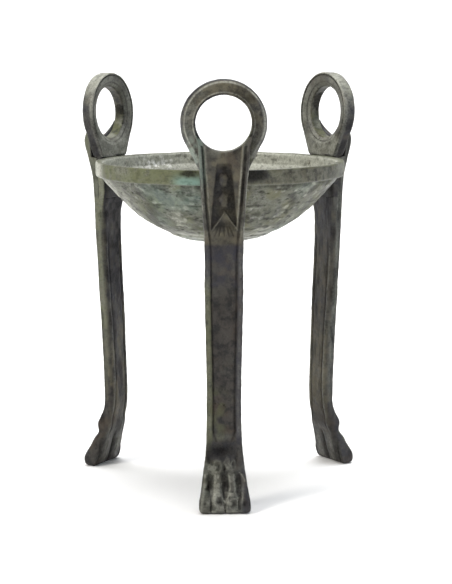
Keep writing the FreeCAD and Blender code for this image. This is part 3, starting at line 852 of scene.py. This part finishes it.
def foot_outline(angle):
    """Distance from the ring's centre to the outline of ring and foot, by angle from straight down."""
    a = np.abs(angle)
    bottom = np.where(a < math.atan2(FOOT_HALF, FOOT_DROP), FOOT_DROP / np.cos(a), 0.0)
    shoulder_x, shoulder_z = FOOT_SHOULDER
    run = np.array([shoulder_x - FOOT_HALF, shoulder_z + FOOT_DROP])
    ray = np.stack([np.sin(a), -np.cos(a)], axis=-1)
    cross = ray[..., 0] * run[1] - ray[..., 1] * run[0]
    flank = (FOOT_HALF * run[1] + FOOT_DROP * run[0]) / np.where(np.abs(cross) < 1e-6, 1e-6, cross)
    within = (a >= math.atan2(FOOT_HALF, FOOT_DROP)) & (a < math.atan2(shoulder_x, -shoulder_z) + 0.05)
    reach = np.maximum(np.maximum(bottom, np.where(within, flank, 0.0)), RING_OUTER)
    for _ in range(3):
        reach = (np.roll(reach, 1) + 2.0 * reach + np.roll(reach, -1)) / 4.0
    return reach


def ring_to_leg_frame(points):
    """Leans points of the ring's own frame outward and moves them to the leg's head."""
    x = points[..., 0] * math.cos(RING_LEAN) + points[..., 2] * math.sin(RING_LEAN)
    z = -points[..., 0] * math.sin(RING_LEAN) + points[..., 2] * math.cos(RING_LEAN)
    return np.stack([x + RING_CENTRE_R, points[..., 1], z + RING_CENTRE_Z], axis=-1)


def tang_grid(place, columns=120, rows=60):
    """The tongue below the ring, flush with the leg and hollowed to hug the rim band, with its marks of
    painted shade and light.
    """
    z = np.linspace(TANG_BOTTOM - 0.2, LEDGE + 1.0, rows)[:, None]
    angle = np.linspace(0.0, 2.0 * math.pi, columns, endpoint=False)[None, :]
    half = half_width(z) + 0.02
    inner = np.maximum(TANG_INNER, strap_inner_radius(z) - 0.02 - 0.2 * np.maximum(z - TANG_BOTTOM, 0.0))
    thick = (TANG_OUTER + 0.3 - inner) / 2.0
    power = np.where(np.cos(angle) < 0.0, 0.4, 0.12)
    x = half * np.sign(np.sin(angle)) * np.abs(np.sin(angle)) ** power
    r = inner + thick + thick * np.sign(np.cos(angle)) * np.abs(np.cos(angle)) ** power
    hug = np.sqrt(RIM_RADIUS ** 2 - x ** 2)
    at_band = window(z, BAND_BOTTOM, RIM_TOP, 0.3)
    r = np.where((r < hug) & (at_band > 0.5), hug + 0.02, r)
    grid = np.stack([r, x, z + 0.0 * x], axis=-1)
    grid = grid + 0.08 * rough(grid, 3.0, 163, 3)[..., None] * np.array([0.0, 0.5, 0.0])
    cap = grid[:1].copy()
    cap[..., 0] = TANG_INNER + 1.5
    cap[..., 1] *= 0.0
    # Painted shade and light: the tang shows only in the shaded gap under the ring's foot, so it is painted
    # dark and bluish; the lit side of the left leg's tang is painted olive and pale.
    side = fade(0.9, 0.99, np.abs(x) / half)
    lit = side * (x > 0.0) * (place == "left") * fade(BAND_BOTTOM + 1.0, BAND_BOTTOM, z)
    marks = {
        "grime_and_shade": 0.8 - 0.8 * lit - 0.3 * side,
        "blue": 0.6 * (1.0 - lit),
        "olive": 0.75 * lit,
        "pale": 0.3 * lit,
    }
    upper_cap = cap + np.array([0.0, 0.0, LEDGE + 1.0 - TANG_BOTTOM])
    return np.concatenate([cap, grid, upper_cap]), carried_on(marks, 1, 1)


def ring_weathering(relief, place, shifted, along, radius, angles):
    """Rubbed edges, dirt and painted shade in the grooves and bore, and the bloom on each ring."""
    stain = relief.stain
    uneven = fade(-0.6, 0.5, rough(shifted, 5.0, 137, 2))
    small = fade(-0.4, 0.4, noise(shifted, 2.2, 141))
    up = -np.cos(angles)[None, :]
    across = np.sin(angles)[None, :]
    face = fade(1.0, 2.2, along)
    rear = fade(-1.0, -2.2, along)
    in_bore = fade(RING_BORE + 0.5, RING_BORE + 0.15, radius)
    outside = fade(RING_OUTER - 0.9, RING_OUTER - 0.4, radius)
    ridge = bump(radius, RING_OUTER - 1.25, 0.28) * face * (0.45 + 0.55 * uneven) * fade(-0.8, -0.3, up)
    bore_line = 0.8 * bump(radius, RING_BORE + 1.2, 0.22) * face * (0.25 + 0.5 * uneven)
    lip = 0.4 * bump(radius, RING_OUTER - 0.5, 0.4) * rear
    bead = 0.55 * bump(radius, RING_BORE + 0.6, 0.4) * rear * uneven
    stain("wear_and_glints", np.maximum(np.maximum(ridge, bore_line), np.maximum(lip, bead)))
    groove = bump(radius, RING_OUTER - 1.15, 0.4) * rear
    stain("grime_and_shade", groove * (0.55 + 0.45 * uneven) * fade(-0.8, -0.5, up))
    stain("grime_and_shade", 0.8 * bump(radius, RING_BORE + 1.9, 0.3) * rear * (0.4 + 0.6 * uneven))
    stains = fade(-0.1, 0.4, rough(shifted, 4.0, 139, 3)) * fade(-0.5, 0.1, up)
    stain("grime_and_shade", 0.85 * in_bore * stains)
    stain("grime_and_shade", 0.4 * fade(0.1, 0.7, rough(shifted, 2.0, 143, 2)) * uneven)
    stain("olive", 0.9 * in_bore * fade(0.2, -0.5, up))
    stain("pale", 0.6 * in_bore * fade(0.0, -0.6, up) * small)
    if place == "front":
        front_ring_bloom(relief, along, radius, angles, face, outside, uneven, small)
    else:
        rear_ring_bloom(relief, up, across, rear, outside, uneven, small)


def front_ring_bloom(relief, along, radius, angles, face, outside, uneven, small):
    """Colours of the ring that faces the camera: bluish edges, a tan face, pale low corners, painted shade
    on the bore's left edge and painted cool light on the face's right.
    """
    stain = relief.stain
    up = -np.cos(angles)[None, :]
    across = np.sin(angles)[None, :]
    # Painted shade on the bore's left edge, dark and bluish.
    left_edge = fade(0.2, -0.5, across) * fade(RING_BORE + 0.95, RING_BORE + 0.7, radius)
    stain("grime_and_shade", 0.7 * left_edge)
    stain("blue", np.maximum(left_edge, outside * (0.6 + 0.4 * small)))
    stain("grime_and_shade", 0.7 * outside * fade(0.0, 0.7, up))
    # Partly painted light: the right of the face is painted bluish and, at mid height, pale, as patina lit
    # by cool light from the right.
    right_face = face * fade(0.45, 0.8, across) * fade(RING_OUTER - 2.2, RING_OUTER - 1.4, radius)
    stain("blue", 0.7 * right_face)
    stain("pale", 0.4 * right_face * fade(-0.5, -0.1, -np.abs(up)))
    stain("tan", 0.75 * face * fade(-0.4, 0.3, up) * uneven * (1.0 - outside))
    stain("grime_and_shade", 0.7 * face * fade(0.1, 0.6, across) * (1.0 - right_face) * (0.3 + 0.7 * uneven))
    low_left = np.exp(-((angles + 0.8) / 0.42) ** 2)[None, :] * (along > -1.0)
    stain("verdigris", 0.3 * low_left * small)
    stain("pale", 0.8 * low_left * (0.3 + 0.7 * small))
    low_right = np.exp(-((angles - 0.65) / 0.25) ** 2)[None, :] * (along > -1.0)
    stain("olive", 0.6 * low_right)
    stain("pale", 0.5 * low_right * small)


def rear_ring_bloom(relief, up, across, rear, outside, uneven, small):
    """Colours of the rings seen from behind: bloom on top and at the foot, blue and dirt at the sides."""
    stain = relief.stain
    stain("pale", 0.95 * outside * fade(0.2, 0.8, up) * (0.5 + 0.5 * uneven))
    stain("olive", 0.6 * outside * fade(0.3, 0.9, up) * small)
    stain("blue", 0.8 * outside * fade(0.4, 0.0, up) * (0.4 + 0.6 * uneven))
    stain("grime_and_shade", 0.85 * outside * fade(0.3, -0.4, up) * (0.4 + 0.6 * uneven))
    stain("blue", 0.4 * rear * fade(0.3, 0.8, np.abs(across)) * uneven)
    stain("pale", fade(-0.55, -0.8, up) * rear * (0.6 + 0.4 * small))
    stain("pale", 0.62 * rear * (0.3 + 0.7 * uneven))


def make_ring_handle(place, azimuth, seed, material):
    profile = ring_profile()
    angles = np.linspace(-math.pi, math.pi, RING_COLUMNS, endpoint=False)
    along = profile[:, 0][:, None] + 0.0 * angles
    radius = profile[:, 1][:, None] + 0.0 * angles
    reach = foot_outline(angles)[None, :]
    distance = radius + (reach - RING_OUTER) * fade(RING_OUTER - 3.0, RING_OUTER, radius)
    worn_side = 0.5 * np.cos(angles - 2.3 - 0.9 * (seed - 1))
    distance += worn_side * bump(radius, RING_OUTER - 1.2, 1.0) * fade(1.2, 2.4, along)
    on_foot = fade(0.45, 0.75, np.cos(angles)) * fade(RING_OUTER - 3.4, RING_OUTER - 2.4, radius)
    flat = on_foot * (along < -1.5)
    along = along + (0.35 - RING_DEPTH / 2 - along) * flat * fade(RING_OUTER + 0.1, RING_OUTER - 0.6, radius)
    points = np.stack([along, distance * np.sin(angles), -distance * np.cos(angles)], axis=-1)
    points, along, radius = (np.concatenate([part, part[:1]]) for part in (points, along, radius))
    shifted = points + seed * 53.0
    relief = Relief(points.shape[:2])
    relief.height += 0.09 * rough(shifted, 6.0, seed, 3) + 0.04 * rough(shifted, 1.5, seed + 3, 3)
    relief.add(-0.2, pits(shifted, 3.0, 0.45, seed + 7, 0.3), 0.8)
    ring_weathering(relief, place, shifted, along, radius, angles)
    normals = grid_normals(points.transpose(1, 0, 2), False).transpose(1, 0, 2)
    points = points + normals * relief.height[..., None]
    points[-1] = points[0]
    points = ring_to_leg_frame(points)
    return make_piece(
        f"ring_{place}_casting", f"ring_handle_{place}", material,
        [(points, relief.marks()), tang_grid(place)], azimuth)


# -------- rivets
RIVET_RADIUS = 1.25
RIM_RIVETS_Z = 139.2
RIM_RIVETS_ACROSS = {"a": -5.6, "b": 5.6}
RIM_RIVETS_END = 59.4
TANG_RIVET_Z = 128.6
TANG_RIVET_END = 58.9


def rivet_grid(height, offset, span, seed, columns=48):
    """A round rivet along x, its inner end peened flush and a little uneven."""
    radius = RIVET_RADIUS
    dome = 0.14
    depth = -(span[1] - span[0])
    outline = [(dome, 0.0), (dome, 0.55), (0.05, 1.1), (-0.1, radius), (depth, radius), (depth, 0.0)]
    outline = resampled(outline, 0.16)
    angles = np.linspace(0.0, 2.0 * math.pi, columns, endpoint=False)
    points = np.stack([
        np.broadcast_to(span[0] - outline[:, 0][:, None], (len(outline), columns)),
        offset + outline[:, 1][:, None] * np.cos(angles),
        height + outline[:, 1][:, None] * np.sin(angles),
    ], axis=-1)
    face = (outline[:, 0] > -0.2)[:, None]
    points[..., 0] += 0.05 * face * noise(points, 0.7, seed)
    grime_and_shade = 0.5 * bump(outline[:, 1], radius, 0.18)[:, None] + 0.0 * points[..., 0]
    return points, {"grime_and_shade": 0.5 * grime_and_shade, "pale": 0.9 * face + 0.0 * points[..., 0]}


def make_rivets(place, azimuth, seed, material):
    inner_band = RIM_RADIUS - BAND_THICKNESS
    rivets = {}
    for name, offset in RIM_RIVETS_ACROSS.items():
        span = (math.sqrt(inner_band ** 2 - offset ** 2) - 0.25, RIM_RIVETS_END)
        rivets[f"rim_rivet_{place}_{name}"] = rivet_grid(RIM_RIVETS_Z, offset, span, seed + 1)
    rivets[f"tang_rivet_{place}"] = rivet_grid(TANG_RIVET_Z, 0.0, (TANG_INNER, TANG_RIVET_END), seed + 7)
    for node, grid in rivets.items():
        make_piece(f"{node}_piece", node, material, [grid], azimuth)


# -------- materials
class Graph:
    """A short way to write a material's nodes."""

    def __init__(self, name):
        self.material = bpy.data.materials.new(name)
        self.material.use_nodes = True
        self.nodes = self.material.node_tree.nodes
        self.links = self.material.node_tree.links
        self.shader = self.nodes["Principled BSDF"]
        self.place = self.nodes.new("ShaderNodeTexCoord").outputs["Object"]

    def set(self, socket, value):
        if isinstance(value, bpy.types.NodeSocket):
            self.links.new(value, socket)
        else:
            socket.default_value = value

    def node(self, kind, inputs, **settings):
        """Outputs of a new node, with numbers or other nodes' outputs put on its inputs."""
        made = self.nodes.new("ShaderNode" + kind)
        for key, value in settings.items():
            setattr(made, key, value)
        for key, value in inputs.items():
            self.set(made.inputs[key], value)
        return made.outputs

    def noise(self, size_mm, detail=4.0, roughness=0.55, offset=0.0, warp=0.0):
        """Noise from 0 to 1 with features of a size in millimetres."""
        scale = [1.0 / (size_mm * MM)] * 3
        location = (offset, offset * 1.7, -offset)
        place = self.node("Mapping", {"Vector": self.place, "Scale": scale, "Location": location})[0]
        look = {"Scale": 1.0, "Detail": detail, "Roughness": roughness, "Distortion": warp}
        return self.node("TexNoise", {"Vector": place, **look})["Fac"]

    def ramp(self, value, low, high, to_low=0.0, to_high=1.0):
        limits = {"From Min": low, "From Max": high, "To Min": to_low, "To Max": to_high}
        return self.node("MapRange", {"Value": value, **limits}, interpolation_type="SMOOTHSTEP")["Result"]

    def math(self, operation, a, b=0.0, clamp=False):
        return self.node("Math", {0: a, 1: b}, operation=operation, use_clamp=clamp)[0]

    def mix(self, factor, a, b):
        a, b = ((*c, 1.0) if isinstance(c, tuple) else c for c in (a, b))
        return self.node("Mix", {"Factor": factor, "A": a, "B": b}, data_type="RGBA")["Result"]

    def marked(self, name, texture, *limits):
        """How strong a painted mark is, broken up by a texture."""
        strength = self.node("Attribute", {}, attribute_name=name)["Fac"]
        return self.math("MULTIPLY", strength, self.ramp(texture, *limits), True)

    def bump(self, height, strength, distance_mm, after=None):
        inputs = {"Strength": strength, "Distance": distance_mm * MM, "Height": height}
        if after is not None:
            inputs["Normal"] = after
        return self.node("Bump", inputs)["Normal"]


OLIVE = (0.120, 0.130, 0.062)
VERDIGRIS = (0.195, 0.305, 0.255)
RUST_BROWN = (0.070, 0.050, 0.033)
BLUE_GREY = (0.036, 0.036, 0.050)
TAN = (0.136, 0.121, 0.077)


def patina(name, deep, body, pale, rubbed, offset, pale_share, brown_share):
    """Weathered bronze: a dark skin, mottled body colour, paler bloom, stains, rubbed edges with painted
    glints, and grime with painted shade.
    """
    g = Graph(name)
    broad = g.noise(17.0, 3.0, 0.5, offset=offset, warp=0.4)
    brown = g.noise(9.0, 5.0, 0.6, offset=offset + 5.0, warp=0.2)
    mottle = g.noise(3.2, 6.0, 0.66, offset=offset + 3.0, warp=0.15)
    fine = g.noise(0.9, 4.0, 0.65, offset=offset + 7.0)
    speck = g.noise(0.42, 2.0, 0.5, offset=offset + 11.0)
    colour = g.mix(g.ramp(mottle, 0.38, 0.6), deep, body)
    colour = g.mix(g.ramp(brown, 0.5, 0.64, 0.0, brown_share), colour, RUST_BROWN)
    bloom = g.math("MULTIPLY", g.ramp(broad, 0.4, 0.66), g.ramp(fine, 0.35, 0.65, 0.3, 1.0))
    colour = g.mix(g.math("MULTIPLY", bloom, pale_share), colour, pale)
    colour = g.mix(g.marked("olive", mottle, 0.3, 0.55, 0.25, 0.85), colour, OLIVE)
    colour = g.mix(g.marked("tan", mottle, 0.3, 0.55, 0.35, 0.9), colour, TAN)
    colour = g.mix(g.marked("blue", mottle, 0.3, 0.6, 1.0, 0.6), colour, BLUE_GREY)
    chalk = g.marked("pale", fine, 0.3, 0.6, 0.45, 1.0)
    colour = g.mix(chalk, colour, tuple(1.4 * channel for channel in pale))
    colour = g.mix(g.marked("verdigris", mottle, 0.2, 0.42, 0.55, 1.0), colour, VERDIGRIS)
    colour = g.mix(g.ramp(speck, 0.66, 0.74, 0.0, 0.35), colour, pale)
    colour = g.mix(g.ramp(speck, 0.36, 0.28, 0.0, 0.6), colour, deep)
    # The rubbed mark mixes in the rubbed colour, for worn edges and for painted glints and highlights.
    rub_and_glint = g.marked("wear_and_glints", fine, 0.3, 0.6, 0.3, 1.0)
    colour = g.mix(rub_and_glint, colour, rubbed)
    # The dark mark mixes in soot, for dirt and for painted shade, and lowers the specular there too.
    soot_and_shade = tuple(0.5 * channel for channel in deep)
    dirt = g.marked("grime_and_shade", fine, 0.3, 0.6, 1.0, 0.8)
    colour = g.mix(dirt, colour, soot_and_shade)
    metallic = g.math("ADD", g.math("MULTIPLY", rub_and_glint, 0.2), 0.1)
    specular = g.math("SUBTRACT", 0.28, g.math("MULTIPLY", dirt, 0.24))
    roughness = g.ramp(mottle, 0.3, 0.7, 0.38, 0.66)
    roughness = g.math("SUBTRACT", roughness, g.math("MULTIPLY", rub_and_glint, 0.12))
    roughness = g.math("ADD", roughness, g.math("MULTIPLY", chalk, 0.1))
    normal = g.bump(mottle, 0.35, 0.35)
    normal = g.bump(fine, 0.5, 0.18, normal)
    normal = g.bump(speck, 0.35, 0.08, normal)
    inputs = {"Base Color": colour, "Metallic": metallic, "Specular IOR Level": specular}
    for key, value in {**inputs, "Roughness": roughness, "Normal": normal}.items():
        g.set(g.shader.inputs[key], value)
    return g.material


def bronze_materials():
    return {
        "leg": patina(
            "leg_patina", (0.011, 0.010, 0.010), (0.046, 0.041, 0.036), (0.120, 0.124, 0.106),
            (0.330, 0.330, 0.280), 1.0, 0.32, 0.45),
        "ring": patina(
            "ring_patina", (0.020, 0.019, 0.018), (0.096, 0.090, 0.070), (0.235, 0.238, 0.205),
            (0.460, 0.460, 0.400), 21.0, 0.45, 0.5),
        # The bowl's rubbed colour is very light so that the painted glints inside it show.
        "bowl": patina(
            "bowl_patina", (0.034, 0.033, 0.028), (0.132, 0.137, 0.110), (0.365, 0.370, 0.318),
            (0.900, 0.900, 0.860), 43.0, 0.5, 0.2),
        "rivet": patina(
            "rivet_patina", (0.090, 0.088, 0.074), (0.240, 0.240, 0.200), (0.300, 0.300, 0.255),
            (0.320, 0.300, 0.240), 67.0, 0.5, 0.4),
    }


# -------- stage
def plain_material(name, colour, roughness):
    material = bpy.data.materials.new(name)
    material.use_nodes = True
    shader = material.node_tree.nodes["Principled BSDF"]
    shader.inputs["Base Color"].default_value = (*colour, 1.0)
    shader.inputs["Roughness"].default_value = roughness
    return material


def make_stage():
    """A pale floor that curves up into a pale backdrop behind the object."""
    half, depth_front, bend_at, bend, top = 6.0, -6.0, 1.6, 1.2, 5.0
    outline = [(depth_front, 0.0), (bend_at, 0.0)]
    for a in np.linspace(0.1, math.pi / 2, 14):
        outline.append((bend_at + bend * math.sin(a), bend - bend * math.cos(a)))
    outline.append((bend_at + bend, top))
    verts = [(side * half, y, z) for y, z in outline for side in (-1.0, 1.0)]
    faces = [(2 * i, 2 * i + 1, 2 * i + 3, 2 * i + 2) for i in range(len(outline) - 1)]
    mesh = bpy.data.meshes.new("studio_floor")
    mesh.from_pydata(verts, [], faces)
    mesh.polygons.foreach_set("use_smooth", [True] * len(mesh.polygons))
    mesh.materials.append(plain_material("studio_pale", (0.93, 0.93, 0.93), 0.9))
    floor = new_object("studio_floor", mesh)


def add_light(name, place, size, power, colour, target=(0.0, 0.0, 0.09)):
    data = bpy.data.lights.new(name, "AREA")
    data.shape = "DISK"
    data.size = size
    data.energy = power
    data.color = colour
    light = new_object(name, data)
    light.location = place
    light.rotation_euler = (Vector(target) - Vector(place)).to_track_quat("-Z", "Y").to_euler()


def make_lights():
    world = bpy.data.worlds.new("studio")
    bpy.context.scene.world = world
    world.use_nodes = True
    background = world.node_tree.nodes["Background"]
    background.inputs["Color"].default_value = (0.97, 0.985, 1.0, 1.0)
    background.inputs["Strength"].default_value = 0.30
    add_light("key_left", (-1.1, -0.8, 1.2), 0.5, 16.0, (1.0, 0.965, 0.90))
    add_light("fill_right", (1.4, -0.1, 0.7), 0.6, 4.5, (0.80, 0.88, 1.0))
    add_light("overhead", (0.15, -0.25, 1.7), 0.9, 13.0, (1.0, 1.0, 1.0))
    add_light("backdrop", (0.0, 0.7, 2.3), 1.6, 75.0, (1.0, 1.0, 1.0), (0.0, 2.6, 0.3))


def make_camera():
    """Eye-level view from just left of the front leg, looking a little down."""
    data = bpy.data.cameras.new("camera")
    data.sensor_width = 36.0
    data.lens = 117.6
    data.clip_start = 0.05
    camera = new_object("camera", data)
    turn_right, look_down, roll = 0.0312, 0.1459, -0.0019
    camera.matrix_world = (
        Matrix.Translation((-0.0235, -0.8372, 0.2070))
        @ Matrix.Rotation(-turn_right, 4, "Z")
        @ Matrix.Rotation(math.pi / 2 - look_down, 4, "X")
        @ Matrix.Rotation(roll, 4, "Z")
    )
    bpy.context.scene.camera = camera
    bpy.context.scene.view_settings.view_transform = "Standard"


# -------- the scene
make_camera()
make_stage()
make_lights()
materials = bronze_materials()
make_bowl(materials["bowl"])
for number, (place, azimuth) in enumerate(LEG_AZIMUTHS.items(), 1):
    make_leg(place, azimuth, number, materials["leg"])
    make_ring_handle(place, azimuth, number, materials["ring"])
    make_rivets(place, azimuth, number, materials["rivet"])
